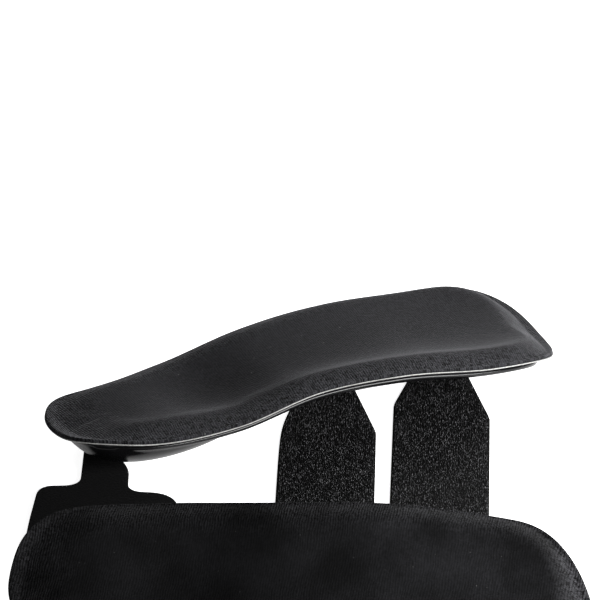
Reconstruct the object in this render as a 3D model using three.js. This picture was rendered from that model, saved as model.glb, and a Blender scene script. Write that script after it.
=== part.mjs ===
// Stirrup ankle brace, laid open on a table with its insides up.
// Millimetres. +Z is up, +X runs from the heel ends to the calf ends, +Y from the near half to the far half.
// The origin is under the middle of the whole brace, on the table.

import * as THREE from "three";

// Sizes shared by both halves
const PAD_LENGTH = 245;
const HEEL_CORNER_LENGTH = 48;
const HEEL_CORNER_POWER = 2.45;
const CALF_CORNER_LENGTH = 34;
const CALF_CORNER_POWER = 2.6;
const CALF_END_SLANT = 0.22;
const GAP = 0.3;

// Cross-sections of the seat between shell and pad, one row per section.
// at: distance from the heel end. half: half width of the pad. middle: height of the middle of the trough.
// rise: how far the long edges stand above the middle.
const SECTIONS = [
  { at: 0, half: 34.5, middle: 14.5, rise: 9 },
  { at: 30, half: 35, middle: 7, rise: 7.5 },
  { at: 70, half: 39.5, middle: 5.5, rise: 9 },
  { at: 110, half: 40.5, middle: 9.5, rise: 11.5 },
  { at: 150, half: 45, middle: 9, rise: 12 },
  { at: 195, half: 48, middle: 3, rise: 12 },
  { at: 245, half: 46, middle: 0.5, rise: 10.5 },
];

// Ankle cup pressed into the shell near the heel end
const CUP_DEPTH = 8;
const CUP_AT = 26;
const CUP_ACROSS = 3;
const CUP_TO_HEEL = 18;
const CUP_TO_CALF = 60;
const CUP_HALF_WIDTH = 30;
const CUP_POWER = 1.2;

// Shell
const SHELL_WALL = 2.4;
const SHELL_SIDE_INSET = 3.5;
const SHELL_HEEL_INSET = 8;
const SHELL_CALF_INSET = 12;

// Pad: a thin flange, a soft bevel and a thick field over a thin backing
const BACKING_THICKNESS = 1.2;
const FLANGE_THICKNESS = 1.8;
const FIELD_THICKNESS = 9;
const FLANGE_SIDE = 3;
const FLANGE_END = 8;
const BEVEL_WIDTH = 12;

// Pose of each half on the table: turn about Z, pitch about Y, roll about X, then the place of its middle.
const FAR_POSE = { side: 1, x: 1.5, y: 79.75, z: 5.35, turn: 28.7, pitch: 1.4, roll: -8 };
const NEAR_POSE = { side: -1, x: 1.5, y: -103.65, z: 11.9, turn: -12.2, pitch: -0.65, roll: 27.5 };

// Hook-faced straps, one row each: end of the far tip, lean from the Y axis, length, and how far the near end
// rises off the table to meet the near shell's outer face.
const STRAP_WIDTH = 43;
const STRAP_THICKNESS = 1.8;
const STRAP_TAPER_LENGTH = 38;
const STRAP_TIP_WIDTH = 22;
const STRAP_END_ROUND = 3;
const STRAP_RISE_LENGTH = 45;
const STRAP_REST_LENGTH = 8;
const STRAPS = [
  { name: "ankle_strap", x: 12.6, y: 99.6, lean: 1.5, length: 246, rise: 6 },
  { name: "calf_strap", x: 63.6, y: 111.6, lean: 2.1, length: 266, rise: 0.5 },
];

// Heel strap: a wide body between two tongues that pass under the cups.
// Corners of its far half, one row each; y is measured from the middle line, round is the corner's rounding.
const HEEL_STRAP_THICKNESS = 2.5;
const HEEL_STRAP_MIDDLE = -25.5;
const HEEL_STRAP_CORNERS = [
  { x: -118, y: 0, round: 30 },
  { x: -114, y: 41, round: 7 },
  { x: -96, y: 39.5, round: 7 },
  { x: -95, y: 84, round: 4 },
  { x: -78.5, y: 84, round: 4 },
  { x: -78.5, y: 62, round: 3 },
  { x: -75, y: 54, round: 4 },
  { x: -75, y: 35.5, round: 7 },
  { x: -54, y: 34, round: 12 },
  { x: -50, y: 0, round: 20 },
];

// Mesh density
const AROUND = 64;
const SEAT_RINGS = [0, 0.22, 0.42, 0.58, 0.7];
const FIELD_RINGS = [0, 0.35, 0.7];
const BEVEL_STEPS = [1, 0.75, 0.5, 0.3, 0.14, 0];
const RISE_STEPS = 12;
const SAME_PLACE = 1e-6;

// Materials
const knit = new THREE.MeshStandardMaterial({ color: 0x2b2b2d, roughness: 0.95, metalness: 0 });
const backing = new THREE.MeshStandardMaterial({ color: 0x8f8f8c, roughness: 0.55, metalness: 0 });
const plastic = new THREE.MeshStandardMaterial({ color: 0x101012, roughness: 0.18, metalness: 0 });
const hookTape = new THREE.MeshStandardMaterial({ color: 0x161617, roughness: 0.85, metalness: 0 });
const cloth = new THREE.MeshStandardMaterial({ color: 0x1c1c1e, roughness: 0.95, metalness: 0 });

// Value of one column of the sections at a distance from the heel end, by a smooth curve through the rows.
function section(column, at) {
  const last = SECTIONS.length - 1;
  let row = 0;
  while (row < last - 1 && at > SECTIONS[row + 1].at) {
    row += 1;
  }
  const span = (k) => SECTIONS[k + 1].at - SECTIONS[k].at;
  const slope = (k) => (SECTIONS[k + 1][column] - SECTIONS[k][column]) / span(k);
  const tangent = (k) => {
    if (k === 0) {
      return slope(0);
    }
    if (k === last) {
      return slope(last - 1);
    }
    return (slope(k - 1) * span(k) + slope(k) * span(k - 1)) / (span(k) + span(k - 1));
  };
  const s = (at - SECTIONS[row].at) / span(row);
  const start = (1 + 2 * s) * (1 - s) ** 2 * SECTIONS[row][column];
  const end = s * s * (3 - 2 * s) * SECTIONS[row + 1][column];
  const leave = s * (1 - s) ** 2 * span(row) * tangent(row);
  const arrive = s * s * (s - 1) * span(row) * tangent(row + 1);
  return start + leave + end + arrive;
}

// Share of the half width that the rounded corners leave at a distance from the heel end.
function cornerShare(at) {
  const fromCalf = PAD_LENGTH - at;
  const corner = (from, length, power) => {
    if (from >= length) {
      return 1;
    }
    return Math.max(0, 1 - Math.abs(1 - from / length) ** power) ** (1 / power);
  };
  const heel = corner(at, HEEL_CORNER_LENGTH, HEEL_CORNER_POWER);
  const calf = corner(fromCalf, CALF_CORNER_LENGTH, CALF_CORNER_POWER);
  return heel * calf;
}

// Depth of the ankle cup at a place on the seat.
function cupDepth(at, across) {
  const reach = at < CUP_AT ? CUP_TO_HEEL : CUP_TO_CALF;
  const along = (at - CUP_AT) / reach;
  const side = (across - CUP_ACROSS) / CUP_HALF_WIDTH;
  return CUP_DEPTH * Math.max(0, 1 - along * along - side * side) ** CUP_POWER;
}

// Height of the smooth trough, which the pad's inner face follows.
function troughHeight(at, across) {
  return section("middle", at) + section("rise", at) * (across / section("half", at)) ** 2;
}

// Height of the shell's inner face, which also dips into the cup.
function seatHeight(at, across) {
  return troughHeight(at, across) - cupDepth(at, across);
}

// Rays from a middle line to the pad's outline, evenly round it. Each has its root, its end and its length.
function outlineRays() {
  const heelRoot = section("half", 0);
  const calfRoot = PAD_LENGTH - section("half", PAD_LENGTH);
  const rays = [];
  for (let k = 0; k < AROUND; k += 1) {
    const angle = (2 * Math.PI * k) / AROUND;
    const at = (PAD_LENGTH / 2) * (1 - Math.cos(angle));
    const across = -Math.sign(Math.sin(angle)) * section("half", at) * cornerShare(at);
    const root = Math.min(Math.max(at, heelRoot), calfRoot);
    const along = at - root;
    const length = Math.hypot(along, across);
    const endShare = (along / length) ** 2;
    rays.push({ root, along, across, length, endShare, heelward: along < 0 });
  }
  return rays;
}

// Point of a half at a share of a ray, with its height above the seat or the trough.
function halfPoint(ray, share, height, level) {
  const at = ray.root + ray.along * share;
  const across = ray.across * share;
  const slant = CALF_END_SLANT * (at / PAD_LENGTH) ** 4;
  return new THREE.Vector3(at + slant * across - PAD_LENGTH / 2, across, height(at, across) + level);
}

// Share of a ray where the shell ends.
function shellShare(ray) {
  const endInset = ray.heelward ? SHELL_HEEL_INSET : SHELL_CALF_INSET;
  const inset = SHELL_SIDE_INSET + (endInset - SHELL_SIDE_INSET) * ray.endShare;
  return 1 - inset / ray.length;
}

// Thickness of the pad's knit and foam at a distance from its edge.
function padThickness(fromEdge, flange) {
  const share = Math.min(Math.max((fromEdge - flange) / BEVEL_WIDTH, 0), 1);
  return FLANGE_THICKNESS + (FIELD_THICKNESS - FLANGE_THICKNESS) * Math.sin((share * Math.PI) / 2);
}

// Closed body between two faces. Each face is a list of rings from its middle out to its edge.
// Both faces are split into triangles alike, so neighbours with the same rings keep an even gap.
function bodyBetween(name, top, bottom, side, material) {
  const corners = [];
  const addTriangle = (a, b, c, turned) => {
    if (a.distanceTo(b) < SAME_PLACE || b.distanceTo(c) < SAME_PLACE || c.distanceTo(a) < SAME_PLACE) {
      return;
    }
    const order = turned ? [a, c, b] : [a, b, c];
    order.forEach((p) => corners.push(p.x, p.y * side, p.z));
  };
  const addBand = (inner, outer, turned) => {
    for (let k = 0; k < AROUND; k += 1) {
      const next = (k + 1) % AROUND;
      addTriangle(inner[k], outer[k], outer[next], turned);
      addTriangle(inner[k], outer[next], inner[next], turned);
    }
  };
  const mirrored = side < 0;
  for (let r = 0; r < top.length - 1; r += 1) {
    addBand(top[r], top[r + 1], mirrored);
  }
  for (let r = 0; r < bottom.length - 1; r += 1) {
    addBand(bottom[r], bottom[r + 1], !mirrored);
  }
  addBand(top[top.length - 1], bottom[bottom.length - 1], mirrored);
  const geometry = new THREE.BufferGeometry();
  geometry.setAttribute("position", new THREE.Float32BufferAttribute(corners, 3));
  geometry.computeVertexNormals();
  const mesh = new THREE.Mesh(geometry, material);
  mesh.name = name;
  return mesh;
}

// Rings of the seat at a level above it, out to the shell's edge or on to the pad's edge.
function seatRings(rays, level, toPadEdge) {
  const shares = SEAT_RINGS.map((share) => () => share);
  shares.push(shellShare);
  if (toPadEdge) {
    shares.push(() => 1);
  }
  return shares.map((share) => rays.map((ray) => halfPoint(ray, share(ray), seatHeight, level)));
}

// Shell: an even wall under the seat.
function makeShell(name, rays, side) {
  const inner = seatRings(rays, 0, false);
  const outer = seatRings(rays, -SHELL_WALL, false);
  return bodyBetween(name, inner, outer, side, plastic);
}

// Backing: an even sheet over the seat, as wide as the pad.
function makeBacking(name, rays, side) {
  const top = seatRings(rays, GAP + BACKING_THICKNESS, true);
  const bottom = seatRings(rays, GAP, true);
  return bodyBetween(name, top, bottom, side, backing);
}

// Pad: fills the cup below, and above has the field, the bevel and the flange.
function makePad(name, rays, side) {
  const base = GAP + BACKING_THICKNESS + GAP;
  const flange = (ray) => FLANGE_SIDE + (FLANGE_END - FLANGE_SIDE) * ray.endShare;
  const borderShare = (ray, step) => 1 - (flange(ray) + BEVEL_WIDTH * step) / ray.length;
  const topPoint = (ray, share) => {
    const thickness = padThickness((1 - share) * ray.length, flange(ray));
    return halfPoint(ray, share, troughHeight, base + thickness);
  };
  const topShares = FIELD_RINGS.map((share) => (ray) => share * borderShare(ray, 1));
  BEVEL_STEPS.forEach((step) => topShares.push((ray) => borderShare(ray, step)));
  topShares.push((ray) => (1 + borderShare(ray, 0)) / 2);
  topShares.push(() => 1);
  const top = topShares.map((share) => rays.map((ray) => topPoint(ray, share(ray))));
  const bottom = seatRings(rays, base, true);
  return bodyBetween(name, top, bottom, side, knit);
}

// One half of the brace, posed on the table.
function makeHalf(prefix, pose) {
  const rays = outlineRays();
  const half = [
    makeShell(`${prefix}_shell`, rays, pose.side),
    makeBacking(`${prefix}_backing`, rays, pose.side),
    makePad(`${prefix}_pad`, rays, pose.side),
  ];
  const radians = THREE.MathUtils.degToRad;
  const turn = new THREE.Euler(radians(pose.roll), radians(pose.pitch), radians(pose.turn), "ZYX");
  const placed = new THREE.Matrix4().makeRotationFromEuler(turn);
  placed.setPosition(pose.x, pose.y, pose.z);
  half.forEach((mesh) => mesh.geometry.applyMatrix4(placed));
  return half;
}

// Flat piece of an even thickness, lying on the table.
function makeSheet(name, shape, thickness, material) {
  const geometry = new THREE.ExtrudeGeometry(shape, { depth: thickness, bevelEnabled: false, curveSegments: 6 });
  const mesh = new THREE.Mesh(geometry, material);
  mesh.name = name;
  return mesh;
}

// Closed outline through corners, each rounded by its own size.
function roundedOutline(corners) {
  const shape = new THREE.Shape();
  corners.forEach((corner, k) => {
    const here = new THREE.Vector2(corner.x, corner.y);
    const before = corners[(k + corners.length - 1) % corners.length];
    const after = corners[(k + 1) % corners.length];
    const toBefore = new THREE.Vector2(before.x, before.y).sub(here).normalize();
    const toAfter = new THREE.Vector2(after.x, after.y).sub(here).normalize();
    const start = here.clone().addScaledVector(toBefore, corner.round);
    const end = here.clone().addScaledVector(toAfter, corner.round);
    if (k === 0) {
      shape.moveTo(start.x, start.y);
    } else {
      shape.lineTo(start.x, start.y);
    }
    shape.quadraticCurveTo(here.x, here.y, end.x, end.y);
  });
  shape.closePath();
  return shape;
}

// Half width of a strap at a distance from its far tip: a tapered tip, and a near end with rounded corners.
function strapHalfWidth(at, length) {
  const full = STRAP_WIDTH / 2;
  const tip = STRAP_TIP_WIDTH / 2;
  const taper = tip + (full - tip) * Math.min(at / STRAP_TAPER_LENGTH, 1);
  const fromEnd = Math.min(at, length - at);
  const missing = Math.max(0, STRAP_END_ROUND - fromEnd);
  return taper - STRAP_END_ROUND + Math.sqrt(STRAP_END_ROUND ** 2 - missing ** 2);
}

// Hook-faced strap, swept from its far tip to its near end.
function makeStrap(row) {
  const stations = [0, 0.3, 1, 2, STRAP_END_ROUND, STRAP_TAPER_LENGTH];
  const riseStart = row.length - STRAP_REST_LENGTH - STRAP_RISE_LENGTH;
  for (let step = 0; step <= RISE_STEPS; step += 1) {
    stations.push(riseStart + (STRAP_RISE_LENGTH * step) / RISE_STEPS);
  }
  [STRAP_END_ROUND, 2, 1, 0.3, 0].forEach((fromEnd) => stations.push(row.length - fromEnd));
  const loops = stations.map((at) => {
    const half = strapHalfWidth(at, row.length);
    const height = row.rise * THREE.MathUtils.smoothstep(at, riseStart, riseStart + STRAP_RISE_LENGTH);
    return [
      new THREE.Vector3(-half, -at, height),
      new THREE.Vector3(half, -at, height),
      new THREE.Vector3(half, -at, height + STRAP_THICKNESS),
      new THREE.Vector3(-half, -at, height + STRAP_THICKNESS),
    ];
  });
  const corners = [];
  const addQuad = (a, b, c, d) => [a, c, b, a, d, c].forEach((p) => corners.push(p.x, p.y, p.z));
  for (let k = 0; k < loops.length - 1; k += 1) {
    for (let side = 0; side < 4; side += 1) {
      const next = (side + 1) % 4;
      addQuad(loops[k][side], loops[k + 1][side], loops[k + 1][next], loops[k][next]);
    }
  }
  const last = loops[loops.length - 1];
  addQuad(loops[0][0], loops[0][1], loops[0][2], loops[0][3]);
  addQuad(last[3], last[2], last[1], last[0]);
  const geometry = new THREE.BufferGeometry();
  geometry.setAttribute("position", new THREE.Float32BufferAttribute(corners, 3));
  geometry.computeVertexNormals();
  geometry.rotateZ(-THREE.MathUtils.degToRad(row.lean));
  geometry.translate(row.x, row.y, 0);
  const mesh = new THREE.Mesh(geometry, hookTape);
  mesh.name = row.name;
  return mesh;
}

// Heel strap: the far corners, then the same corners mirrored over the middle line.
function makeHeelStrap() {
  const farCorners = HEEL_STRAP_CORNERS.slice(1, -1);
  const nearCorners = farCorners.map((corner) => ({ ...corner, y: -corner.y })).reverse();
  const ends = [HEEL_STRAP_CORNERS[0], HEEL_STRAP_CORNERS[HEEL_STRAP_CORNERS.length - 1]];
  const corners = [ends[0], ...farCorners, ends[1], ...nearCorners].reverse();
  const mesh = makeSheet("heel_strap", roundedOutline(corners), HEEL_STRAP_THICKNESS, cloth);
  mesh.geometry.translate(0, HEEL_STRAP_MIDDLE, 0);
  return mesh;
}

const brace = new THREE.Group();
brace.name = "stirrup_ankle_brace";
brace.add(...makeHalf("far", FAR_POSE));
brace.add(...makeHalf("near", NEAR_POSE));
STRAPS.forEach((row) => brace.add(makeStrap(row)));
brace.add(makeHeelStrap());

export default brace;
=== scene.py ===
# %% [markdown]
# # A stirrup ankle brace, laid open
# The brace lies on a white table with its insides up. Two stiff shells, each lined with a soft pad, open like
# a book from the heel end on the left. A cloth strap joins them under the heel, and two hook-faced straps lie
# between them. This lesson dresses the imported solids: it first loads them as the frame, then makes each piece
# again as a finer surface in the same place, and gives it the finish that the real one has.

import bmesh
import bpy
import numpy as np
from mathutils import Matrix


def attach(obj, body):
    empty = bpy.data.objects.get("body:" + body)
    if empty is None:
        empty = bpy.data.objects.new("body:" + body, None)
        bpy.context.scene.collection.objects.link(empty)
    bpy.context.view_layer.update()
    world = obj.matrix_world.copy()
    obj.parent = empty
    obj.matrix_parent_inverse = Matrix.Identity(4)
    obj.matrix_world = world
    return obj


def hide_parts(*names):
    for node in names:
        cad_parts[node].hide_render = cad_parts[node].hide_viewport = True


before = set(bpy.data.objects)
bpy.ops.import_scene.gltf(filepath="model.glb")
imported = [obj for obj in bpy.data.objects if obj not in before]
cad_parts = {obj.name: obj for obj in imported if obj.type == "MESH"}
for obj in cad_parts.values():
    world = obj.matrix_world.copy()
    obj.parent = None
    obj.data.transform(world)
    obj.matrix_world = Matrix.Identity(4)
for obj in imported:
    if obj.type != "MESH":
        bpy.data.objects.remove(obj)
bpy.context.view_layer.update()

# %% [markdown]
# ## The camera
# The photograph looks down at 30 degrees through a long lens, so parallel lines hardly meet. The camera could
# be turned by eye until it looks right. Here its angle, distance and aim are stated as numbers, because the
# same numbers place every outline on the table to within a millimetre or so.

# %% Camera at the photograph's angle
MM = 0.001
CAMERA_ANGLE = np.radians(30.0)      # how far the camera looks down
CAMERA_DISTANCE = 2309.5             # mm
CAMERA_AIM = np.array([-0.55, 179.05, 0.0])
LENS = 300.0                         # mm
SENSOR = 36.0                        # mm wide

camera = bpy.data.objects.new("camera", bpy.data.cameras.new("camera"))
back = np.array([0.0, -np.cos(CAMERA_ANGLE), np.sin(CAMERA_ANGLE)])
camera.location = (CAMERA_AIM + CAMERA_DISTANCE * back) * MM
camera.rotation_euler = (np.pi / 2 - CAMERA_ANGLE, 0, 0)
camera.data.lens = LENS
camera.data.sensor_width = SENSOR
camera.data.clip_end = 50.0
bpy.context.scene.collection.objects.link(camera)
bpy.context.scene.camera = camera
print("camera at", np.round(np.array(camera.location), 3))

# %% [markdown]
# ## The shape of a half
# Both halves are one mould and its mirror image: a shallow trough that narrows to the heel and dips and rises
# along the leg, with a cup for the ankle bone. It could be sculpted, but the trough is simple enough to write
# down: a short table of sections, a smooth curve through each column, and a parabola across. Everything else
# is measured from that seat.

# %% Sections of the seat and the curve through them
PAD_LENGTH = 245.0       # mm
SECTIONS = np.array([
    # at     half  middle rise   (mm from the heel end; half width; height of the middle; rise of the edges)
    [0.0,    34.5, 14.5,  9.0],
    [30.0,   35.0, 7.0,   7.5],
    [70.0,   39.5, 5.5,   9.0],
    [110.0,  40.5, 9.5,   11.5],
    [150.0,  45.0, 9.0,   12.0],
    [195.0,  48.0, 3.0,   12.0],
    [245.0,  46.0, 0.5,   10.5],
])
HALF, MIDDLE, RISE = 1, 2, 3


def curve(rows, values, at):
    """Cubic curve through the rows: a row's slope is the mean of its neighbours', weighted by the spans."""
    span = np.diff(rows)
    slope = np.diff(values) / span
    between = (slope[:-1] * span[1:] + slope[1:] * span[:-1]) / (span[1:] + span[:-1])
    tangent = np.concatenate([slope[:1], between, slope[-1:]])
    k = np.clip(np.searchsorted(rows, at, "right") - 1, 0, len(rows) - 2)
    s = (at - rows[k]) / span[k]
    start = (1 + 2 * s) * (1 - s) ** 2 * values[k] + s * (1 - s) ** 2 * span[k] * tangent[k]
    end = s * s * (3 - 2 * s) * values[k + 1] + s * s * (s - 1) * span[k] * tangent[k + 1]
    return start + end


def section(column, at):
    """One column of the sections at any place along the half."""
    return curve(SECTIONS[:, 0], SECTIONS[:, column], at)


print("half widths at the sections", SECTIONS[:, HALF], "mm")

# %% Heights of the trough, the ankle cup and the lining
HEEL_CORNER = 48.0, 2.45         # length in mm and power of the rounded heel end
CUP_AT, CUP_DEPTH = 28.0, 7.0    # mm, place of the ankle cup along the half and its depth
CUP_REACH = 20.0, 54.0           # mm that it runs towards the heel and towards the calf
CUP_POWER = 4.0, 1.6             # how flat its bottom is on those two sides
CUP_WIDTH = 0.86                 # share of the outline's width
CUP_LINED = 0.75                 # share of its depth that the lining follows


def trough(at, across):
    """Height of the smooth trough: the middle's, plus a parabola across that reaches the rise at the edge."""
    return section(MIDDLE, at) + section(RISE, at) * (across / section(HALF, at)) ** 2


def corner(distance, length, power):
    """Share of the half width that a rounded end leaves, a superellipse of that length and power."""
    return np.clip(1 - np.abs(1 - np.minimum(distance / length, 1.0)) ** power, 0, 1) ** (1 / power)


def cup(at, across):
    """Depth of the ankle cup: the full depth times (1 - along^power - side^4)^0.7, where along and side are
    shares of its reach and width. It keeps inside the outline, which narrows at the heel."""
    along = np.abs(at - CUP_AT) / np.where(at < CUP_AT, *CUP_REACH)
    side = np.abs(across) / (CUP_WIDTH * section(HALF, at) * np.maximum(corner(at, *HEEL_CORNER), 0.3))
    return CUP_DEPTH * np.clip(1 - along ** np.where(at < CUP_AT, *CUP_POWER) - side**4, 0, 1) ** 0.7


def seat(at, across):
    """Height of the shell's inner face: the trough less the ankle cup."""
    return trough(at, across) - cup(at, across)


def lining(at, across):
    """Height that the backing and the pad's underside follow: the trough less most of the cup's depth."""
    return trough(at, across) - CUP_LINED * cup(at, across)


print("seat heights along the middle", np.round(seat(SECTIONS[:, 0], 0.0), 1))

# %% Outline of a pad, as rays from a middle line
RAY_COUNT = 320
CALF_CORNER = 37.0, 2.5          # length in mm and power of the rounded calf end
CALF_SLANT = 0.22                # how far that end slants, for each mm across


def outline_rays(count):
    """Rays from the middle line to the outline: root, steps along and across, length and share of end."""
    angle = 2 * np.pi * np.arange(count) / count
    at = PAD_LENGTH / 2 * (1 - np.cos(angle))
    across = -np.sign(np.round(np.sin(angle), 9)) * section(HALF, at)
    across = across * corner(at, *HEEL_CORNER) * corner(PAD_LENGTH - at, *CALF_CORNER)
    root = np.clip(at, SECTIONS[0, HALF], PAD_LENGTH - SECTIONS[-1, HALF])
    along = at - root
    length = np.hypot(along, across)
    return {"root": root, "along": along, "across": across, "length": length, "end": (along / length) ** 2}


def on_half(rays, share, height, level):
    """Points at a share of each ray, at a level over a height function; the slant grows towards the calf."""
    at = rays["root"] + rays["along"] * share
    across = rays["across"] * share
    slant = CALF_SLANT * (at / PAD_LENGTH) ** 4
    return np.stack([at + slant * across - PAD_LENGTH / 2, across, height(at, across) + level], -1)


RAYS = outline_rays(RAY_COUNT)
print("outline of", len(RAYS["root"]), "rays, widest", round(2 * RAYS["across"].max(), 1), "mm")

# %% Pose of each half on the table
POSES = {
    # side mirrors the far half into the near one; the angles are roll about X, pitch about Y and turn about Z
    "far": {"side": 1, "place": (1.5, 79.75, 5.35), "angles": (-8.0, 1.4, 28.7)},
    "near": {"side": -1, "place": (1.5, -103.65, 11.9), "angles": (27.5, -0.65, -12.2)},
}


def posed(points, half):
    """Half's points turned by roll, then pitch, then turn, moved to their place, in metres."""
    pose = POSES[half]
    (cr, cp, ct), (sr, sp, st) = (f(np.radians(pose["angles"])) for f in (np.cos, np.sin))
    roll = np.array([[1, 0, 0], [0, cr, -sr], [0, sr, cr]])
    pitch = np.array([[cp, 0, sp], [0, 1, 0], [-sp, 0, cp]])
    turn = np.array([[ct, -st, 0], [st, ct, 0], [0, 0, 1]])
    return ((points * [1, pose["side"], 1]) @ (turn @ pitch @ roll).T + pose["place"]) * MM


print("halves posed:", list(POSES))

# %% [markdown]
# ## From arrays to meshes
# A closed piece is a stack of rings: it starts at a middle line on top, runs out over the edge and comes back
# to a middle line below. Points that meet in a line are welded, so the piece is closed, with no hole.

# %% Weld rings into closed faces
def welded(points, quads):
    """Joins points in the same place, and turns quads that lost a corner into triangles, by whole arrays."""
    key = np.round(points * 1e6).astype(np.int64)
    _, first, inverse = np.unique(key, axis=0, return_index=True, return_inverse=True)
    quads = inverse.reshape(-1)[quads]
    lost = quads == np.roll(quads, -1, axis=1)
    triangles = quads[lost.sum(1) == 1][~lost[lost.sum(1) == 1]].reshape(-1, 3)
    return points[first], first, quads[~lost.any(1)].tolist() + triangles.tolist()


def ring_quads(rings, count):
    """Corner numbers of the quads between neighbouring rings."""
    r, k = np.meshgrid(np.arange(rings - 1), np.arange(count), indexing="ij")
    n = (k + 1) % count
    corners = [r * count + k, (r + 1) * count + k, (r + 1) * count + n, r * count + n]
    return np.stack(corners, -1).reshape(-1, 4)


print("two rings of three points make", len(ring_quads(2, 3)), "quads")

# %% New pieces and their marks
def add_piece(name, points, faces, uv=None):
    """New smooth mesh object at the origin, faces outward, with a UV map in millimetres if one is given."""
    mesh = bpy.data.meshes.new(name)
    mesh.from_pydata(points.tolist(), [], faces)
    shape = bmesh.new()
    shape.from_mesh(mesh)
    if shape.calc_volume(signed=True) < 0:
        mesh.flip_normals()
    shape.free()
    if uv is not None:
        corner_of = np.empty(len(mesh.loops), dtype=np.int32)
        mesh.loops.foreach_get("vertex_index", corner_of)
        layer = mesh.uv_layers.new(name="millimetres")
        layer.data.foreach_set("uv", uv[corner_of].astype(np.float32).ravel())
    mesh.polygons.foreach_set("use_smooth", np.ones(len(mesh.polygons), dtype=bool))
    mesh.update()
    piece = bpy.data.objects.new(name, mesh)
    bpy.context.scene.collection.objects.link(piece)
    return piece


def add_mark(piece, mark, values):
    """Keeps a value for each point as an attribute that a finish can read."""
    kept = piece.data.attributes.new(mark, "FLOAT", "POINT")
    kept.data.foreach_set("value", values.astype(np.float32))


def add_rings(name, rings, uv=None, **marks):
    """Closed piece from an array of rings (ring, ray, xyz) in metres, with marks for each of its points."""
    points, first, faces = welded(rings.reshape(-1, 3), ring_quads(*rings.shape[:2]))
    piece = add_piece(name, points, faces, None if uv is None else uv.reshape(-1, 2)[first])
    for mark, values in marks.items():
        add_mark(piece, mark, values.reshape(-1)[first])
    return piece


print("pieces are drawn in metres, and their maps in millimetres")

# %% [markdown]
# ## Colours and nodes
# Each finish is a small node tree. Colours are written as the hex values that a screen shows, and one
# function turns them to the linear light that Blender works in. One more adds a node with its settings and
# links, so that a finish reads as a list of its nodes.

# %% Colour and node helpers
def linear(code):
    """Linear RGBA of an sRGB hex colour: each channel c becomes ((c + 0.055) / 1.055) to the power 2.4."""
    channel = np.array([int(code[i : i + 2], 16) for i in (1, 3, 5)]) / 255
    light = np.where(channel <= 0.04045, channel / 12.92, ((channel + 0.055) / 1.055) ** 2.4)
    return (*light.tolist(), 1.0)


def fill(tree, made, **links):
    """Sets a node's plain inputs, and links the inputs that are given as sockets."""
    for key, value in links.items():
        number = key.split("_")[-1]
        name = int(number) if number.isdigit() else key.replace("_", " ")
        if isinstance(value, bpy.types.NodeSocket):
            tree.links.new(value, made.inputs[name])
        else:
            made.inputs[name].default_value = value
    return made


def node(tree, kind, settings=None, **links):
    """Adds a node, sets its properties and fills its inputs."""
    made = tree.nodes.new(kind)
    for key, value in (settings or {}).items():
        setattr(made, key, value)
    return fill(tree, made, **links)


def new_finish(name):
    """Empty material, with its tree and its shader."""
    material = bpy.data.materials.new(name)
    material.use_nodes = True
    return material, material.node_tree, material.node_tree.nodes["Principled BSDF"]


print("dark grey in linear light", np.round(linear("#26262a"), 4))

# %% [markdown]
# ## The pads
# Each pad is a sheet of soft foam covered in black knit. Its border is pressed thin all round, so a rounded
# slope runs up from the edge to the full thickness. A box with a bevel would look hard. The pad is drawn a
# little thin and its knit cover is then blown up slightly by a cloth simulation, with the pressed edge and
# the middle held, so that the slope swells as foam does.

# %% Sizes of a pad and the foam along it
PAD_BASE = 1.0           # mm from the shell's face to the underside
PAD_FIELD = 9.2          # foam thickness before it swells
PAD_EDGE = 1.8           # thickness of the pressed edge
PAD_SLOPES = 15.0, 8.0   # width of the rounded slope at the sides, by the heel and by the calf
PAD_END_SLOPES = 21.0, 13.0   # and across the heel end and the calf end
PRESSED_SIDE = 0.9       # width of the pressed edge at the sides
PRESSED_ENDS = 6.0, 5.0  # and at the heel end and the calf end
EDGE_FLAT = 0.85         # mm from the outline where the top goes over into the round edge
EDGE_ROUND = PAD_EDGE / 2
FREE_FROM = 2.0          # mm past the pressed edge over which the cover comes free to swell
FREE_PAST, FREE_FADE = 16.0, 12.0   # mm past the slope where it is held again, and how gently
FOAM = np.array([
    # at     extra  (mm from the heel end; foam thickness that the middle has over the plain pad)
    [0.0,    -4.0],
    [17.0,   -2.4],
    [30.0,   0.6],
    [42.0,   2.0],
    [50.0,   1.7],
    [58.0,   0.6],
    [68.0,   -0.5],
    [78.0,   -0.7],
    [90.0,   0.1],
    [103.0,  1.1],
    [118.0,  1.3],
    [150.0,  1.6],
    [171.0,  2.4],
    [192.0,  2.6],
    [212.0,  2.0],
    [245.0,  0.6],
])
print("foam is thickest", FOAM[FOAM[:, 1].argmax(), 0], "mm from the heel end")

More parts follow.
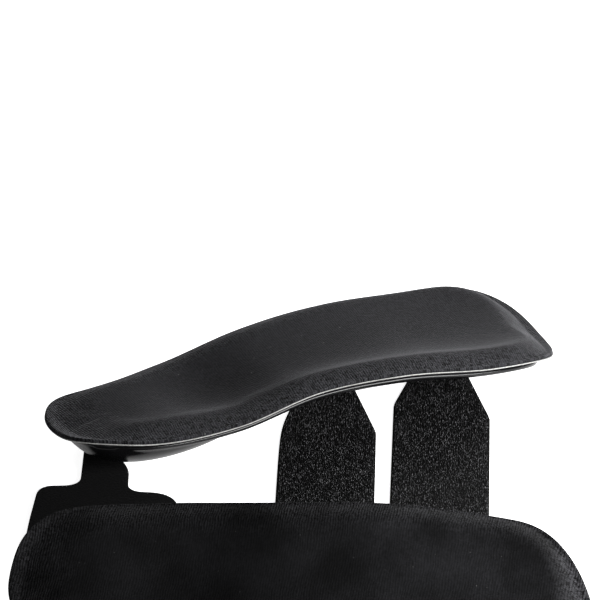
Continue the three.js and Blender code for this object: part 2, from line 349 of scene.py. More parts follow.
# %% Pad rings: middle, slope, pressed edge, underside
def pad_rings(rays):
    """Rings of the pad: over each ray the foam rises from the pressed edge to the field by a quarter sine,
    which is mixed with a straighter slope towards the calf; the edge turns under by a half circle, and the
    underside runs back to the middle line. Also how free each point is to swell, and how far the knit is
    stretched there."""
    calf = rays["along"] > 0
    flange = PRESSED_SIDE + (np.where(calf, PRESSED_ENDS[1], PRESSED_ENDS[0]) - PRESSED_SIDE) * rays["end"]
    upward = (rays["root"] + rays["along"]) / PAD_LENGTH
    width = PAD_SLOPES[0] + (PAD_SLOPES[1] - PAD_SLOPES[0]) * upward
    wider = np.where(calf, PAD_END_SLOPES[1] - PAD_SLOPES[1], PAD_END_SLOPES[0] - PAD_SLOPES[0])
    width = width + wider * rays["end"]
    inner = flange + width
    field = inner + (rays["length"] - inner) * np.linspace(1, 0, 15)[:, None]
    slope = flange + width * np.linspace(1, 0, 19)[1:, None]
    pressed = EDGE_FLAT + (flange - EDGE_FLAT) * np.linspace(1, 0, 6)[1:, None]
    from_edge = np.concatenate([field, slope, pressed])
    climb = np.clip((from_edge - flange) / width, 0, 1)
    straighter = upward / 2
    rise = np.sin(np.pi / 2 * climb) * (1 - straighter) + climb * (1.5 - 0.5 * climb) * straighter
    at = rays["root"] + rays["along"] * (1 - from_edge / rays["length"])
    middle = 1 - (rays["across"] * (1 - from_edge / rays["length"]) / section(HALF, at)) ** 2
    thick = PAD_EDGE + (PAD_FIELD - PAD_EDGE) * rise + curve(FOAM[:, 0], FOAM[:, 1], at) * middle * rise
    top = on_half(rays, 1 - from_edge / rays["length"], trough, PAD_BASE + thick)
    turn = np.linspace(np.pi / 2, -np.pi / 2, 7)[1:, None]
    round_edge = EDGE_ROUND * (1 - np.cos(turn))
    edge = on_half(rays, 1 - round_edge / rays["length"], trough, PAD_BASE + EDGE_ROUND * (1 + np.sin(turn)))
    share = (1 - EDGE_ROUND / rays["length"]) * np.linspace(1, 0, 13)[1:, None]
    under = on_half(rays, share, lining, PAD_BASE)
    held = np.concatenate([from_edge, 0 * round_edge + 0 * flange, 0 * share + 0 * flange])
    free = np.clip((held - flange) / FREE_FROM, 0, 1) * np.clip((inner + FREE_PAST - held) / FREE_FADE, 0, 1)
    # the knit is fully stretched at the edge, and not at all a quarter past the slope
    stretch = np.clip(1.25 - held / inner, 0, 1)
    return np.concatenate([top, edge, under]), free, stretch


pad_shape, pad_free, pad_stretch = pad_rings(RAYS)
pad_plan = pad_shape[..., :2] + [PAD_LENGTH / 2, 0]
print("pad of", pad_shape.shape[0], "rings")

# %% Swell the knit cover with a cloth simulation
PAD_PRESSURE = 4.0
PAD_STEPS = 20
PAD_CAP = 2.5            # mm, the most that a point may move


def swollen(shape, free):
    """Shape after the cover has been blown up for a few frames, each point moved at most by the cap."""
    flat = shape.reshape(-1, 3)
    points, first, faces = welded(flat * MM, ring_quads(*shape.shape[:2]))
    cover = add_piece("pad_cover_trial", points, faces)
    pins = cover.vertex_groups.new(name="held")
    held = 1 - free.reshape(-1)[first]
    for level in np.unique(np.round(held, 1)):
        pins.add(np.flatnonzero(np.round(held, 1) == level).tolist(), float(level), "REPLACE")
    cloth = cover.modifiers.new("knit", "CLOTH")
    cloth.settings.vertex_group_mass = pins.name
    cloth.settings.use_pressure = True
    cloth.settings.uniform_pressure_force = PAD_PRESSURE
    cloth.settings.effector_weights.gravity = 0.0
    cloth.settings.quality = 6
    cloth.settings.tension_stiffness = 8.0
    cloth.settings.compression_stiffness = 8.0
    cloth.settings.bending_stiffness = 0.4
    cloth.point_cache.frame_start, cloth.point_cache.frame_end = 1, PAD_STEPS
    scene = bpy.context.scene
    for step in range(1, PAD_STEPS + 1):
        scene.frame_set(step)
    solved = cover.evaluated_get(bpy.context.evaluated_depsgraph_get()).to_mesh()
    now = np.empty(len(points) * 3, dtype=np.float32)
    solved.vertices.foreach_get("co", now)
    move = now.reshape(-1, 3) / MM - points / MM
    cover.evaluated_get(bpy.context.evaluated_depsgraph_get()).to_mesh_clear()
    bpy.data.meshes.remove(cover.data)
    scene.frame_set(1)
    far = np.linalg.norm(move, axis=1, keepdims=True)
    move = move * np.minimum(1, PAD_CAP / np.maximum(far, 1e-9))
    print("cover moved up to", round(float(far.max()), 2), "mm, mean of the free part",
          round(float(far[held < 0.5].mean()), 2), "mm")
    key = np.round(flat * MM * 1e6).astype(np.int64)
    _, place = np.unique(key, axis=0, return_inverse=True)
    return shape + move[place.reshape(-1)].reshape(shape.shape)


pad_soft = swollen(pad_shape, pad_free)
print("pad is now up to", round(float((pad_soft - pad_shape)[..., 2].max()), 2), "mm thicker")

# %% Pads in place
def finished(piece, material, node_name=None):
    """Gives a piece its material and parents it to the root body; hides the frame's part that it replaces, if
    one is named.
    """
    piece.data.materials.append(material)
    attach(piece, "root")
    if node_name:
        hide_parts(node_name)
    return piece


def smoother(piece):
    """One level of subdivision, the same in the view and in the render."""
    step = piece.modifiers.new("smooth", "SUBSURF")
    step.levels = step.render_levels = 1
    return piece


# painted shade: the near pad's colour is scaled down along its length, most at the heel end; the far pad keeps
# all of it
PAINTED_SHADE_AT = 0.0, 210.0, PAD_LENGTH   # mm from the heel end
PAINTED_SHADE = {"far": (1.0, 1.0, 1.0), "near": (0.16, 0.38, 0.72)}   # share of colour that the painted shade leaves there
pads = {}
for half in POSES:
    # the share of colour that the painted shade leaves at each point
    nap = np.interp(pad_plan[..., 0], PAINTED_SHADE_AT, PAINTED_SHADE[half])
    pad = add_rings(f"{half}_pad_knit", posed(pad_soft, half), pad_plan, stretch=pad_stretch, nap=nap)
    pads[half] = smoother(pad)
print("pads:", [piece.name for piece in pads.values()])

# %% [markdown]
# The cover is a fine warp knit, black, a little brushed. Its ribs run across the pad, under a millimetre
# apart, and open where the knit is stretched over the slopes, which are also painted paler as a painted
# sheen. Loose fibres scatter light at the edges, which the sheen gives, and a little pale lint sticks to it.
# A photograph of cloth could be laid over it, but ribs worked out from a stitch spacing stay sharp. The near
# pad is painted darker, most at its heel end and in random patches, as painted shade, and it has less
# sheen, so the same knit gets two finishes.

# %% Relief of the warp knit
RIB = 1.1                # mm; the real ribs are about 0.85 mm apart, drawn coarser so that they show
STITCH_ROW = 1.0         # mm between rows of stitches, coarser too
LOOP = 0.8               # mm across one brushed loop
TUFT = 10 / 7            # mm, seven brushed tufts in a centimetre
WANDER = 25 / 3          # mm between the turns of a rib that wanders
WANDER_BY = 2.2          # mm that it wanders


def knit_relief(tree, place):
    """Height of the knit's face: ribs, rows of stitches, tufts and loops added up, each by its weight. Also
    the place, moved so that the ribs wander."""
    wander = node(tree, "ShaderNodeTexNoise", Vector=place, Scale=1 / WANDER, Detail=2.0)
    bend = node(tree, "ShaderNodeVectorMath", {"operation": "SCALE"},
                Vector=wander.outputs["Color"], Scale=WANDER_BY)
    bent = node(tree, "ShaderNodeVectorMath", {"operation": "ADD"}, in_0=place, in_1=bend.outputs[0])
    # a wave node's bands are 2 pi / (20 x scale) apart
    ribs = node(tree, "ShaderNodeTexWave", {"wave_type": "BANDS", "bands_direction": "X"},
                Vector=bent.outputs[0], Scale=2 * np.pi / 20 / RIB, Distortion=1.5, Detail=2.0)
    rows = node(tree, "ShaderNodeTexWave", {"wave_type": "BANDS", "bands_direction": "Y"},
                Vector=bent.outputs[0], Scale=2 * np.pi / 20 / STITCH_ROW, Distortion=1.2, Detail=1.0)
    fuzz = node(tree, "ShaderNodeTexNoise", Vector=place, Scale=1 / TUFT, Detail=2.0, Roughness=0.6)
    loops = node(tree, "ShaderNodeTexVoronoi", Vector=bent.outputs[0], Scale=1 / LOOP)
    loop = node(tree, "ShaderNodeSeparateColor", Color=loops.outputs["Color"])
    soft = node(tree, "ShaderNodeMath", {"operation": "MULTIPLY"}, in_0=ribs.outputs["Fac"], in_1=0.5)
    stitch = node(tree, "ShaderNodeMath", {"operation": "MULTIPLY_ADD"},
                  in_0=rows.outputs["Fac"], in_1=0.15, in_2=soft.outputs[0])
    brushed = node(tree, "ShaderNodeMath", {"operation": "MULTIPLY_ADD"},
                   in_0=fuzz.outputs["Fac"], in_1=1.5, in_2=stitch.outputs[0])
    height = node(tree, "ShaderNodeMath", {"operation": "MULTIPLY_ADD"},
                  in_0=loop.outputs[0], in_1=1.6, in_2=brushed.outputs[0])
    return bent.outputs[0], height.outputs[0]


print("ribs", RIB, "mm apart")

# %% Brushed warp-knit cover
PATCH = 200 / 7          # mm, seven patches of nap in 200 mm
LINT = 10 / 3            # mm, three places for lint in a centimetre


def knit_finish(name, sheen, mottle, open_rib_and_painted_sheen):
    """Matt black ribs with a bloom at grazing angles, and slopes painted paler as a painted sheen; mottle is
    how far random patches change the colour and the share that the painted shade leaves.
    """
    material, tree, shader = new_finish(name)
    place = node(tree, "ShaderNodeUVMap", {"uv_map": "millimetres"}).outputs[0]
    bent, height = knit_relief(tree, place)
    stretch = node(tree, "ShaderNodeAttribute", {"attribute_name": "stretch"}).outputs["Fac"]
    open_up = node(tree, "ShaderNodeMapRange", Value=stretch, To_Min=0.35, To_Max=1.0)
    even = node(tree, "ShaderNodeMapRange", Value=height, From_Min=1.1, From_Max=2.65)
    tone = node(tree, "ShaderNodeMix", {"data_type": "FLOAT"},
                in_0=open_up.outputs[0], in_2=0.45, in_3=even.outputs[0])
    patch = node(tree, "ShaderNodeTexNoise", Vector=place, Scale=1 / PATCH, Detail=3.0)
    # paler where the knit is stretched: partly its open ribs, partly a painted sheen on the slopes
    bright = node(tree, "ShaderNodeMix", {"data_type": "RGBA"}, in_0=stretch,
                  in_6=linear("#2d2d30"), in_7=linear(open_rib_and_painted_sheen))
    deep = node(tree, "ShaderNodeMix", {"data_type": "RGBA"}, in_0=tone.outputs[0],
                in_6=linear("#010101"), in_7=bright.outputs[2])
    worn = node(tree, "ShaderNodeMapRange", Value=patch.outputs["Fac"],
                From_Min=0.35, From_Max=0.7, To_Max=0.35)
    yarn = node(tree, "ShaderNodeMix", {"data_type": "RGBA"}, in_0=worn.outputs[0],
                in_6=deep.outputs[2], in_7=linear("#1d1d1f"))
    specks = node(tree, "ShaderNodeTexVoronoi", Vector=bent, Scale=1 / LINT)
    lint = node(tree, "ShaderNodeMapRange", Value=specks.outputs["Distance"],
                From_Min=0.06, From_Max=0.1, To_Min=1.0, To_Max=0.0)
    few = node(tree, "ShaderNodeMath", {"operation": "GREATER_THAN"}, in_0=specks.outputs["Color"], in_1=0.7)
    spot = node(tree, "ShaderNodeMath", {"operation": "MULTIPLY"}, in_0=lint.outputs[0], in_1=few.outputs[0])
    linty = node(tree, "ShaderNodeMix", {"data_type": "RGBA"}, in_0=spot.outputs[0],
                 in_6=yarn.outputs[2], in_7=linear("#525252"))
    # painted shade: the colour is scaled by the point's share and by random patches, which darkens the near pad
    nap = node(tree, "ShaderNodeAttribute", {"attribute_name": "nap"}).outputs["Fac"]
    lie = node(tree, "ShaderNodeMapRange", Value=patch.outputs["Fac"], From_Min=0.35, From_Max=0.65,
               To_Min=1 - mottle, To_Max=1 + mottle)
    pale = node(tree, "ShaderNodeMath", {"operation": "MULTIPLY"}, in_0=nap, in_1=lie.outputs[0])
    cover = node(tree, "ShaderNodeMix", {"data_type": "RGBA"}, in_0=pale.outputs[0],
                 in_6=linear("#000000"), in_7=linty.outputs[2])
    bump = node(tree, "ShaderNodeBump", Height=height, Strength=open_up.outputs[0], Distance=0.35 * MM)
    fill(tree, shader, Base_Color=cover.outputs[2], Normal=bump.outputs[0], Roughness=0.9,
         Specular_IOR_Level=0.1, Sheen_Weight=sheen, Sheen_Roughness=0.22, Sheen_Tint=linear("#d8d8de"))
    return material


# the near pad's finish carries the painted shade, in deep patches, and less sheen
KNIT = {
    "far": knit_finish("black_warp_knit_far", sheen=0.17, mottle=0.1, open_rib_and_painted_sheen="#343437"),
    "near": knit_finish("black_warp_knit_near_painted_shade", sheen=0.05, mottle=0.6, open_rib_and_painted_sheen="#464649"),
}
for half, piece in pads.items():
    finished(piece, KNIT[half], f"{half}_pad")
print("knit on", len(pads), "pads")

# %% [markdown]
# ## The backings
# Under each pad lies a thin foam film that the knit is bonded to. It has a dark skin and a pale core, and
# only its cut edge shows, as a light grey line round the pad, so it stands a hair proud of the knit. A plain
# sheet would do, but a rounded edge holds the light as the cut foam does.

# %% A layer with a half-round edge
def layer_rings(rays, height, high, low, over, rings):
    """Closed layer between two levels over a height; its half-round edge ends this far over the outline."""
    thick = (high - low) / 2
    reach = 1 + (over - thick) / rays["length"]
    out = reach * np.linspace(0, 1, rings)[:, None]
    turn = np.linspace(np.pi / 2, -np.pi / 2, 7)[1:-1, None]
    rim = 1 + (over - thick + thick * np.cos(turn)) / rays["length"]
    top = on_half(rays, out, height, high)
    edge = on_half(rays, rim, height, (high + low) / 2 + thick * np.sin(turn))
    return np.concatenate([top, edge, on_half(rays, out[::-1], height, low)])


FILM_LEVELS = 0.98, 0.4      # mm over the lining
FILM_OVER = 0.25             # mm that the cut edge stands out over the knit
FILM_RINGS = 24
film_rings = layer_rings(RAYS, lining, *FILM_LEVELS, FILM_OVER, FILM_RINGS)
print("film of", len(film_rings), "rings")

# %% Cut foam film
CELL = 10 / 9            # mm, nine foam cells in a centimetre; real ones are finer
SMEAR = 25.0             # mm between paler and darker stretches of the edge


def backing_finish():
    """Dull dark skin, and a pale grainy line where the foam is cut."""
    material, tree, shader = new_finish("grey_foam_film_cut")
    place = node(tree, "ShaderNodeTexCoord").outputs["Object"]
    cells = node(tree, "ShaderNodeTexNoise", Vector=place, Scale=1 / (CELL * MM), Detail=3.0)
    smear = node(tree, "ShaderNodeTexNoise", Vector=place, Scale=1 / (SMEAR * MM), Detail=2.0)
    both = node(tree, "ShaderNodeMath", {"operation": "MULTIPLY"},
                in_0=cells.outputs[0], in_1=smear.outputs[0])
    tone = node(tree, "ShaderNodeMapRange", Value=both.outputs[0], From_Min=0.12, From_Max=0.4)
    cut = node(tree, "ShaderNodeMix", {"data_type": "RGBA"}, in_0=tone.outputs[0],
               in_6=linear("#7a7a78"), in_7=linear("#aeaeac"))
    skin = node(tree, "ShaderNodeMix", {"data_type": "RGBA"}, in_0=tone.outputs[0],
                in_6=linear("#161617"), in_7=linear("#2a2a2b"))
    rim = node(tree, "ShaderNodeAttribute", {"attribute_name": "rim"}).outputs["Fac"]
    film = node(tree, "ShaderNodeMix", {"data_type": "RGBA"}, in_0=rim,
                in_6=skin.outputs[2], in_7=cut.outputs[2])
    bump = node(tree, "ShaderNodeBump", Height=cells.outputs[0], Strength=0.2, Distance=0.1 * MM)
    fill(tree, shader, Base_Color=film.outputs[2], Normal=bump.outputs[0], Roughness=0.5)
    return material


FILM = backing_finish()
on_rim = np.zeros(film_rings.shape[:2])
on_rim[FILM_RINGS:-FILM_RINGS] = 1.0
for half in POSES:
    film = add_rings(f"{half}_backing_film", posed(film_rings, half), rim=on_rim)
    finished(film, FILM, f"{half}_backing")
print("backings in", FILM.name)

# %% [markdown]
# ## The shells
# The shells are injection-moulded plastic, black and glossy, about as thick as a coin. Each follows the
# seat, bulges out into a cup over the ankle bone, and stops short of the pad's edge. A solidified sheet would
# do, but a half round drawn on the rim gives the bright line that a moulded rim shows.

# %% Shell walls
SHELL_FACE = 0.35        # mm over the seat
SHELL_WALL = 2.2         # mm thick
SHELL_SIDE = 2.6         # mm that it stops short of the outline at the sides
SHELL_ENDS = 7.0, 12.0   # and at the heel end and the calf end
SHELL_RINGS = 44


def shell_rings(rays):
    """Wall between the seat and the outer face, which stops short of the outline, most at the ends."""
    end = np.where(rays["along"] < 0, *SHELL_ENDS)
    inset = SHELL_SIDE + (end - SHELL_SIDE) * rays["end"]
    return layer_rings(rays, seat, SHELL_FACE, SHELL_FACE - SHELL_WALL, -inset, SHELL_RINGS)


shell_shape = shell_rings(RAYS)
print("shell of", len(shell_shape), "rings,", SHELL_WALL, "mm thick")

# %% Moulded black plastic
FLOW = 25 / 3            # mm, three flow marks in 25 mm
HAZE = 100 / 3           # mm, three clouds of haze in 100 mm


def shell_finish():
    """Deep black with a clear reflection, a little clouded by the flow of the melt."""
    material, tree, shader = new_finish("black_polypropylene_moulded")
    place = node(tree, "ShaderNodeTexCoord").outputs["Object"]
    flow = node(tree, "ShaderNodeTexNoise", Vector=place, Scale=1 / (FLOW * MM), Detail=2.0)
    haze = node(tree, "ShaderNodeTexNoise", Vector=place, Scale=1 / (HAZE * MM), Detail=4.0)
    gloss = node(tree, "ShaderNodeMapRange", Value=haze.outputs[0],
                 From_Min=0.3, From_Max=0.7, To_Min=0.14, To_Max=0.24)
    tone = node(tree, "ShaderNodeMix", {"data_type": "RGBA"}, in_0=haze.outputs[0],
                in_6=linear("#080809"), in_7=linear("#111112"))
    bump = node(tree, "ShaderNodeBump", Height=flow.outputs[0], Strength=0.06, Distance=0.3 * MM)
    fill(tree, shader, Base_Color=tone.outputs[2], Roughness=gloss.outputs[0], Normal=bump.outputs[0],
         IOR=1.49, Specular_IOR_Level=0.3)
    return material


PLASTIC = shell_finish()
for half in POSES:
    shell = add_rings(f"{half}_shell_plastic", posed(shell_shape, half))
    finished(shell, PLASTIC, f"{half}_shell")
print("shells in", PLASTIC.name)

# %% [markdown]
# ## The hook straps
# Two straps of hook tape lie between the halves. The tape is woven nylon with a bare selvedge, and its face
# is a dense field of small stiff hooks that glitter. A bump map would look like rough cloth, so the hooks are
# real: one bent bristle, repeated over the face by arrays.

# %% Outline and lie of the straps
STRAP_WIDTH = 43.0       # mm
TAPE = 1.0               # mm, the woven tape under the hooks
TIP_SLOPE = 0.276        # mm that a slant falls in for each mm along
STRAP_ROUND = 3.0        # mm, radius of the corners at both ends
STEP_FROM, STEP_LONG = 53.0, 45.0   # mm: where it starts to rise before the near end, and for how long
STRAP_ROWS = {
    # far tip on the table, lean in degrees, length, rise of the near end, lengths of the tip's two slants and
    # how softly each slant bends into the side
    "ankle_strap": {"tip": (12.6, 99.6), "lean": 1.5, "length": 246.0, "rise": 6.0,
                    "slants": (33.0, 38.0), "soft": (12.0, 1.0)},
    "calf_strap": {"tip": (63.6, 111.6), "lean": 2.1, "length": 266.0, "rise": 0.5,
                   "slants": (28.0, 38.0), "soft": (1.0, 1.0)},
}


def strap_half(row, along, slant):
    """Half width on one side: the tip's slant falls in evenly, and both ends have round corners."""
    ahead = row["slants"][slant] - along
    taper = STRAP_WIDTH / 2 - TIP_SLOPE * (ahead + np.hypot(ahead, row["soft"][slant])) / 2
    from_end = np.minimum(along, row["length"] - along)
    short = np.clip(STRAP_ROUND - from_end, 0, STRAP_ROUND)
    return taper - STRAP_ROUND + np.sqrt(np.clip(STRAP_ROUND**2 - short**2, 0, STRAP_ROUND**2))


def strap_rise(row, along):
    """Height of the tape's underside: flat, then a smooth step up near the end under the shell."""
    s = np.clip((along - (row["length"] - STEP_FROM)) / STEP_LONG, 0, 1)
    return row["rise"] * s * s * (3 - 2 * s)


def on_strap(row, along, side, height):
    """Points in metres from lengths along the strap, side steps and heights over its underside."""
    lean = np.radians(row["lean"])
    x = row["tip"][0] + side * np.cos(lean) - along * np.sin(lean)
    y = row["tip"][1] - side * np.sin(lean) - along * np.cos(lean)
    return np.stack([x, y, strap_rise(row, along) + height], -1) * MM


print("straps", STRAP_WIDTH, "mm wide and", [row["length"] for row in STRAP_ROWS.values()], "mm long")

# %% Tape of a strap
def tape_rings(row):
    """A thin rounded section carried along the strap; it is pinched shut at both ends."""
    start, stop = STRAP_ROUND, row["length"] - STRAP_ROUND
    along = np.concatenate([np.linspace(0, start, 7), np.linspace(start, stop, 110)[1:-1],
                            np.linspace(stop, row["length"], 7)])
    turn = np.linspace(np.pi / 2, -np.pi / 2, 7)
    flat = np.linspace(-1, 1, 13)
    around = np.concatenate([flat[:-1], np.ones(6), flat[::-1][:-1], -np.ones(6)])
    bulge = np.concatenate([np.zeros(12), np.cos(turn[:-1]), np.zeros(12), -np.cos(turn[:-1])])
    lift = np.concatenate([np.ones(12), np.sin(turn[:-1]), -np.ones(12), -np.sin(turn[:-1])])
    left, right = (strap_half(row, along, slant)[:, None] - TAPE / 2 for slant in (0, 1))
    side = around * np.where(around < 0, left, right) + bulge * TAPE / 2
    rings = on_strap(row, along[:, None] + 0 * side, side, TAPE / 2 * (1 + lift) + 0 * side)
    shut = on_strap(row, along[[0, -1], None] + 0 * side[:2], side[[0, -1]], TAPE / 2 + 0 * side[:2])
    plan = np.stack([side, along[:, None] + 0 * side], -1)
    return np.concatenate([shut[:1], rings, shut[1:]]), np.concatenate([plan[:1], plan, plan[-1:]])


tapes = {}
for name, row in STRAP_ROWS.items():
    tapes[name] = add_rings(f"{name}_tape", *tape_rings(row))
print("tapes:", list(tapes))

# %% Hooks on the tape
HOOK_STEP = 0.78         # mm between hooks
HOOK_SHAKE = 0.38        # how far a hook may stand off the grid, as a share of the step
HOOK_SIZES = 0.75, 1.1   # smallest and largest, as shares of the path below
SELVEDGE, BARE_END = 0.8, 1.3   # mm without hooks along the sides and at the ends
HOOK_PATH = np.array([
    # forward, up   (mm along one bent bristle)
    [0.00, -0.10],
    [0.06, 0.56],
    [0.34, 0.48],
])
HOOK_THICK = 0.19        # mm from its middle line to its corners
HOOK_POINTS = 7          # two three-sided sections and the tip


def hook_field(row, seed):
    """Bent bristles on a shaken grid: a three-sided section at the foot and at the bend, then a point at the
    tip, each bristle turned at random. Also their faces, and one random number for each bristle on all its
    points, which sets its gloss and its painted glint."""
    chance = np.random.default_rng(seed)
    across, along = np.meshgrid(np.arange(-STRAP_WIDTH / 2, STRAP_WIDTH / 2, HOOK_STEP),
                                np.arange(0, row["length"], HOOK_STEP), indexing="ij")
    spot = np.stack([across, along], -1).reshape(-1, 2)
    spot = spot + chance.uniform(-HOOK_SHAKE, HOOK_SHAKE, spot.shape) * HOOK_STEP
    inside = np.clip(spot[:, 1], 0, row["length"])
    left, right = (strap_half(row, inside, slant) - SELVEDGE for slant in (0, 1))
    keep = (spot[:, 0] > -left) & (spot[:, 0] < right)
    spot = spot[keep & (spot[:, 1] > BARE_END) & (spot[:, 1] < row["length"] - BARE_END)]
    yaw = chance.uniform(0, 2 * np.pi, len(spot))[:, None]
    size = chance.uniform(*HOOK_SIZES, len(spot))[:, None]
    turn = 2 * np.pi * np.arange(3) / 3
    tangent = np.gradient(HOOK_PATH, axis=0)
    tangent = tangent / np.linalg.norm(tangent, axis=1, keepdims=True)
    forward = np.append(HOOK_PATH[:2, :1] - tangent[:2, 1:] * HOOK_THICK * np.cos(turn), HOOK_PATH[2, 0])
    up = np.append(HOOK_PATH[:2, 1:] + tangent[:2, :1] * HOOK_THICK * np.cos(turn), HOOK_PATH[2, 1])
    wide = np.append(np.tile(HOOK_THICK * np.sin(turn), 2), 0.0)
    x = spot[:, :1] + size * (forward * np.cos(yaw) - wide * np.sin(yaw))
    y = spot[:, 1:] + size * (forward * np.sin(yaw) + wide * np.cos(yaw))
    points = on_strap(row, y, x, TAPE + size * up)
    step = HOOK_POINTS * np.arange(len(spot))[:, None, None]
    quads = (ring_quads(2, 3)[None] + step).reshape(-1, 4)
    ends = (np.array([[0, 1, 2], [4, 3, 6], [5, 4, 6], [3, 5, 6]])[None] + step).reshape(-1, 3)
    # one number a bristle: higher is glossier, and the few highest are painted pale as a painted glint
    gloss_and_painted_glint = np.repeat(chance.uniform(0, 1, len(spot)), HOOK_POINTS)
    return points.reshape(-1, 3), quads.tolist() + ends.tolist(), gloss_and_painted_glint


FIRST_SEED = 11
hooks = {}
for seed, (name, row) in enumerate(STRAP_ROWS.items(), FIRST_SEED):
    points, faces, gloss_and_painted_glint = hook_field(row, seed)
    hooks[name] = add_piece(f"{name}_hooks", points, faces)
    add_mark(hooks[name], "gloss_and_painted_glint", gloss_and_painted_glint)
    print(name, len(gloss_and_painted_glint) // HOOK_POINTS, "hooks")

# %% [markdown]
# The tape is matt woven nylon and the hooks are drawn nylon thread, smooth and shiny, so each one shows a
# small spark of light against the dark. One finish for both would be flat; here each hook has its own gloss,
# and a few are painted pale as a painted glint.

# %% Woven tape
WEFT, WARP = 0.9, 0.7    # mm between threads, drawn coarser than real ones


def tape_finish():
    """Matt black with a fine plain weave."""
    material, tree, shader = new_finish("black_nylon_tape_woven")
    place = node(tree, "ShaderNodeUVMap", {"uv_map": "millimetres"}).outputs[0]
    weft = node(tree, "ShaderNodeTexWave", {"bands_direction": "Y"}, Vector=place,
                Scale=2 * np.pi / 20 / WEFT, Distortion=0.5)
    warp = node(tree, "ShaderNodeTexWave", {"bands_direction": "X"}, Vector=place,
                Scale=2 * np.pi / 20 / WARP, Distortion=0.5)
    weave = node(tree, "ShaderNodeMath", {"operation": "MULTIPLY"},
                 in_0=weft.outputs["Fac"], in_1=warp.outputs["Fac"])
    yarn = node(tree, "ShaderNodeMix", {"data_type": "RGBA"}, in_0=weave.outputs[0],
                in_6=linear("#030303"), in_7=linear("#0d0d0e"))
    bump = node(tree, "ShaderNodeBump", Height=weave.outputs[0], Strength=0.4, Distance=0.2 * MM)
    fill(tree, shader, Base_Color=yarn.outputs[2], Normal=bump.outputs[0], Roughness=0.85,
         Specular_IOR_Level=0.1)
    return material


WOVEN = tape_finish()
print("tape finish:", WOVEN.name)

# %% Drawn hooks
def hook_finish():
    """Smooth thread: most hooks are black; a few are painted pale as a painted glint, and are glossier."""
    material, tree, shader = new_finish("black_nylon_thread_drawn")
    gloss_and_painted_glint = node(tree, "ShaderNodeAttribute", {"attribute_name": "gloss_and_painted_glint"}).outputs["Fac"]
    # painted glint: the hooks with the highest number are painted pale
    tone = node(tree, "ShaderNodeMath", {"operation": "POWER"}, in_0=gloss_and_painted_glint, in_1=4.0)
    thread = node(tree, "ShaderNodeMix", {"data_type": "RGBA"}, in_0=tone.outputs[0],
                  in_6=linear("#020202"), in_7=linear("#68686a"))
    gloss = node(tree, "ShaderNodeMapRange", Value=gloss_and_painted_glint, To_Min=0.5, To_Max=0.25)
    fill(tree, shader, Base_Color=thread.outputs[2], Roughness=gloss.outputs[0], IOR=1.53,
         Specular_IOR_Level=0.15)
    return material


THREAD = hook_finish()
print("hook finish:", THREAD.name)

# %% Straps in place
for name, row in STRAP_ROWS.items():
    finished(tapes[name], WOVEN, name)
    finished(hooks[name], THREAD)

# %% [markdown]
# ## The heel strap
# The strap under the heel is a soft black loop cloth, cut wide in the middle with a narrow tongue at each end
# that goes under a shell. It could be a flat cut-out. Here the outline is a table of corners with their
# roundings, and rings carry it over a softly rounded rim, with one flat face on top and one below.

# %% Heel strap outline
HEEL_MIDDLE = -25.5      # mm, y of the line that the two halves of the strap mirror in
HEEL_CORNERS = np.array([
    # x      y from middle  rounding
    [-118.0, 0.0,           20.0],
    [-114.0, 40.0,          7.0],
    [-96.0,  40.5,          7.0],
    [-95.0,  84.0,          4.0],
    [-78.5,  84.0,          4.0],
    [-78.5,  62.0,          3.0],
    [-75.0,  54.0,          4.0],
    [-75.0,  35.5,          7.0],
    [-54.0,  34.0,          12.0],
    [-50.0,  0.0,           20.0],
])


def heel_outline():
    """Closed outline: each corner is a quadratic curve between points a rounding away from it, and the half
    so drawn is mirrored."""
    corners = np.concatenate([HEEL_CORNERS[:1] * [1, -1, 1], HEEL_CORNERS, HEEL_CORNERS[-1:] * [1, -1, 1]])
    here = HEEL_CORNERS[:, :2]
    before, after = (np.roll(corners[:, :2], step, axis=0)[1:-1] - here for step in (1, -1))
    before[0], after[-1] = (0, -1), (0, -1)
    size = HEEL_CORNERS[:, 2:]
    start = here + before / np.linalg.norm(before, axis=1, keepdims=True) * size
    end = here + after / np.linalg.norm(after, axis=1, keepdims=True) * size
    s = np.linspace(0, 1, 13)[None, :, None]
    path = (1 - s) ** 2 * start[:, None] + 2 * s * (1 - s) * here[:, None] + s * s * end[:, None]
    path = path.reshape(-1, 2)
    upper = path[path[:, 1] > 0.5]
    return np.concatenate([upper, upper[::-1] * [1, -1]])


outline = heel_outline()

# %% Heel strap cloth
HEEL_CLOTH = 2.5         # mm thick
HEEL_ROUND = 0.8         # mm that the rim is rounded


def heel_rings(outline):
    """Rings over the rim, set in along the outline's own normal: a flat step, a half round, a flat step."""
    step = np.roll(outline, -1, axis=0) - np.roll(outline, 1, axis=0)
    out = np.stack([-step[:, 1], step[:, 0]], -1) / np.linalg.norm(step, axis=1, keepdims=True)
    turn = np.linspace(np.pi / 2, -np.pi / 2, 9)
    inset = HEEL_ROUND * np.concatenate([[1.5], 1 - np.cos(turn), [1.5]])
    height = HEEL_CLOTH / 2 * (1 + np.concatenate([[1], np.sin(turn), [-1]]))
    flat = outline - inset[:, None, None] * out + [0, HEEL_MIDDLE]
    return np.concatenate([flat, height[:, None, None] + 0 * flat[..., :1]], -1)


rings = heel_rings(outline)
number = np.arange(rings.shape[0] * rings.shape[1]).reshape(rings.shape[:2])
faces = ring_quads(*rings.shape[:2]).tolist() + [number[0].tolist(), number[-1, ::-1].tolist()]
heel = add_piece("heel_strap_cloth", rings.reshape(-1, 3) * MM, faces, rings[..., :2].reshape(-1, 2))
print("heel cloth of", len(faces), "faces")

# %% [markdown]
# The cloth is a brushed loop nylon: a low pile of tiny loops that drinks the light and shows no highlight. A
# plain black would look like paper. Cells as small as the loops, and a soft noise for the nap, give depth.

# %% Brushed loop cloth
PILE = 10 / 11           # mm, eleven loops in a centimetre; real ones are finer
NAP_GRAIN = 10 / 9       # mm across a tuft of nap
BRUSHED = 12.5           # mm across a place that is brushed another way


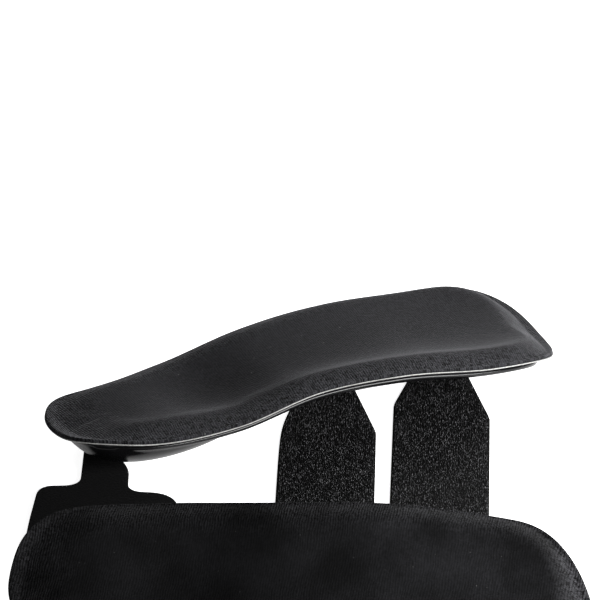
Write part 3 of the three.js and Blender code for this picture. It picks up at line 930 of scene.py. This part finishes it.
def loop_finish():
    """Dull black pile, a little paler where it is brushed another way."""
    material, tree, shader = new_finish("black_loop_nylon_brushed")
    place = node(tree, "ShaderNodeUVMap", {"uv_map": "millimetres"}).outputs[0]
    loops = node(tree, "ShaderNodeTexVoronoi", Vector=place, Scale=1 / PILE)
    nap = node(tree, "ShaderNodeTexNoise", Vector=place, Scale=1 / NAP_GRAIN, Detail=5.0, Roughness=0.7)
    brushed = node(tree, "ShaderNodeTexNoise", Vector=place, Scale=1 / BRUSHED, Detail=3.0)
    height = node(tree, "ShaderNodeMath", {"operation": "ADD"},
                  in_0=loops.outputs["Distance"], in_1=nap.outputs[0])
    tone = node(tree, "ShaderNodeMapRange", Value=height.outputs[0], From_Min=0.4, From_Max=1.4)
    dark = node(tree, "ShaderNodeMix", {"data_type": "RGBA"}, in_0=tone.outputs[0],
                in_6=linear("#010101"), in_7=linear("#0c0c0d"))
    lie = node(tree, "ShaderNodeMapRange", Value=brushed.outputs[0], From_Min=0.4, From_Max=0.7, To_Max=0.4)
    cloth = node(tree, "ShaderNodeMix", {"data_type": "RGBA"}, in_0=lie.outputs[0],
                 in_6=dark.outputs[2], in_7=linear("#0a0a0b"))
    bump = node(tree, "ShaderNodeBump", Height=height.outputs[0], Strength=0.6, Distance=0.3 * MM)
    fill(tree, shader, Base_Color=cloth.outputs[2], Normal=bump.outputs[0], Roughness=0.9,
         Specular_IOR_Level=0.08, Sheen_Weight=0.015, Sheen_Roughness=0.5)
    return material


finished(heel, loop_finish(), "heel_strap")
print("heel strap finished")

# %% [markdown]
# ## Table and light
# The photograph is a catalogue picture: a white table with no shadow, and light that comes low from the
# right, so slopes that face right are grey and those that face left are nearly black. One lamp would cast a
# hard shadow. Here three soft lamps stand round the right-hand side, and the table glows as lit acrylic does.

# %% White table and white surround
TABLE_HALF = 4.0         # metres from its middle to its edges
GRAIN = 50 / 3           # mm across a faint cloud in the white
corners = np.array([(-1, -1, 0), (1, -1, 0), (1, 1, 0), (-1, 1, 0)]) * TABLE_HALF
floor_mesh = bpy.data.meshes.new("table")
floor_mesh.from_pydata(corners.tolist(), [], [(0, 1, 2, 3)])
floor = bpy.data.objects.new("table", floor_mesh)
bpy.context.scene.collection.objects.link(floor)
paint, tree, shader = new_finish("white_acrylic_lit_from_below")
place = node(tree, "ShaderNodeTexCoord").outputs["Object"]
grain = node(tree, "ShaderNodeTexNoise", Vector=place, Scale=1 / (GRAIN * MM))
white = node(tree, "ShaderNodeMix", {"data_type": "RGBA"}, in_0=grain.outputs[0],
             in_6=linear("#f4f4f4"), in_7=linear("#fafafa"))
# the glow hides the shadows; the brace itself gets a fifth of it, so that its black stays black
seen = node(tree, "ShaderNodeLightPath").outputs["Is Camera Ray"]
glow = node(tree, "ShaderNodeMapRange", Value=seen, To_Min=0.2, To_Max=1.0)
fill(tree, shader, Base_Color=white.outputs[2], Emission_Color=white.outputs[2],
     Emission_Strength=glow.outputs[0], Roughness=0.9)
floor_mesh.materials.append(paint)

SURROUND = 0.06          # strength of the white light from all round
world = bpy.data.worlds.new("white_surround")
world.use_nodes = True
fill(world.node_tree, world.node_tree.nodes["Background"], Color=(1, 1, 1, 1), Strength=SURROUND)
bpy.context.scene.world = world
bpy.context.scene.view_settings.view_transform = "Standard"
print("table", 2 * TABLE_HALF, "m wide")

# %% Three soft lamps
LAMP_HEIGHT = np.radians(22)     # how high they stand, seen from the brace
LAMP_SIZE = 0.45                 # metres
LAMPS = {
    # degrees round from the right-hand side towards the back, distance in metres, and power in watts
    "lamp_right_front": (-38, 0.75, 14.5),
    "lamp_right": (25, 0.9, 4.0),
    "lamp_right_behind": (60, 0.9, 7.0),
}


def lamp(name, degrees, distance, power):
    """Square soft lamp on a circle round the brace, turned to its middle."""
    light = bpy.data.lights.new(name, "AREA")
    light.size, light.energy = LAMP_SIZE, power
    made = bpy.data.objects.new(name, light)
    way = np.radians(degrees)
    flat = distance * np.cos(LAMP_HEIGHT)
    made.location = (flat * np.cos(way), flat * np.sin(way), distance * np.sin(LAMP_HEIGHT))
    made.rotation_euler = (np.pi / 2 - LAMP_HEIGHT, 0, way + np.pi / 2)
    bpy.context.scene.collection.objects.link(made)


for name, row in LAMPS.items():
    lamp(name, *row)
print("lamps:", list(LAMPS))
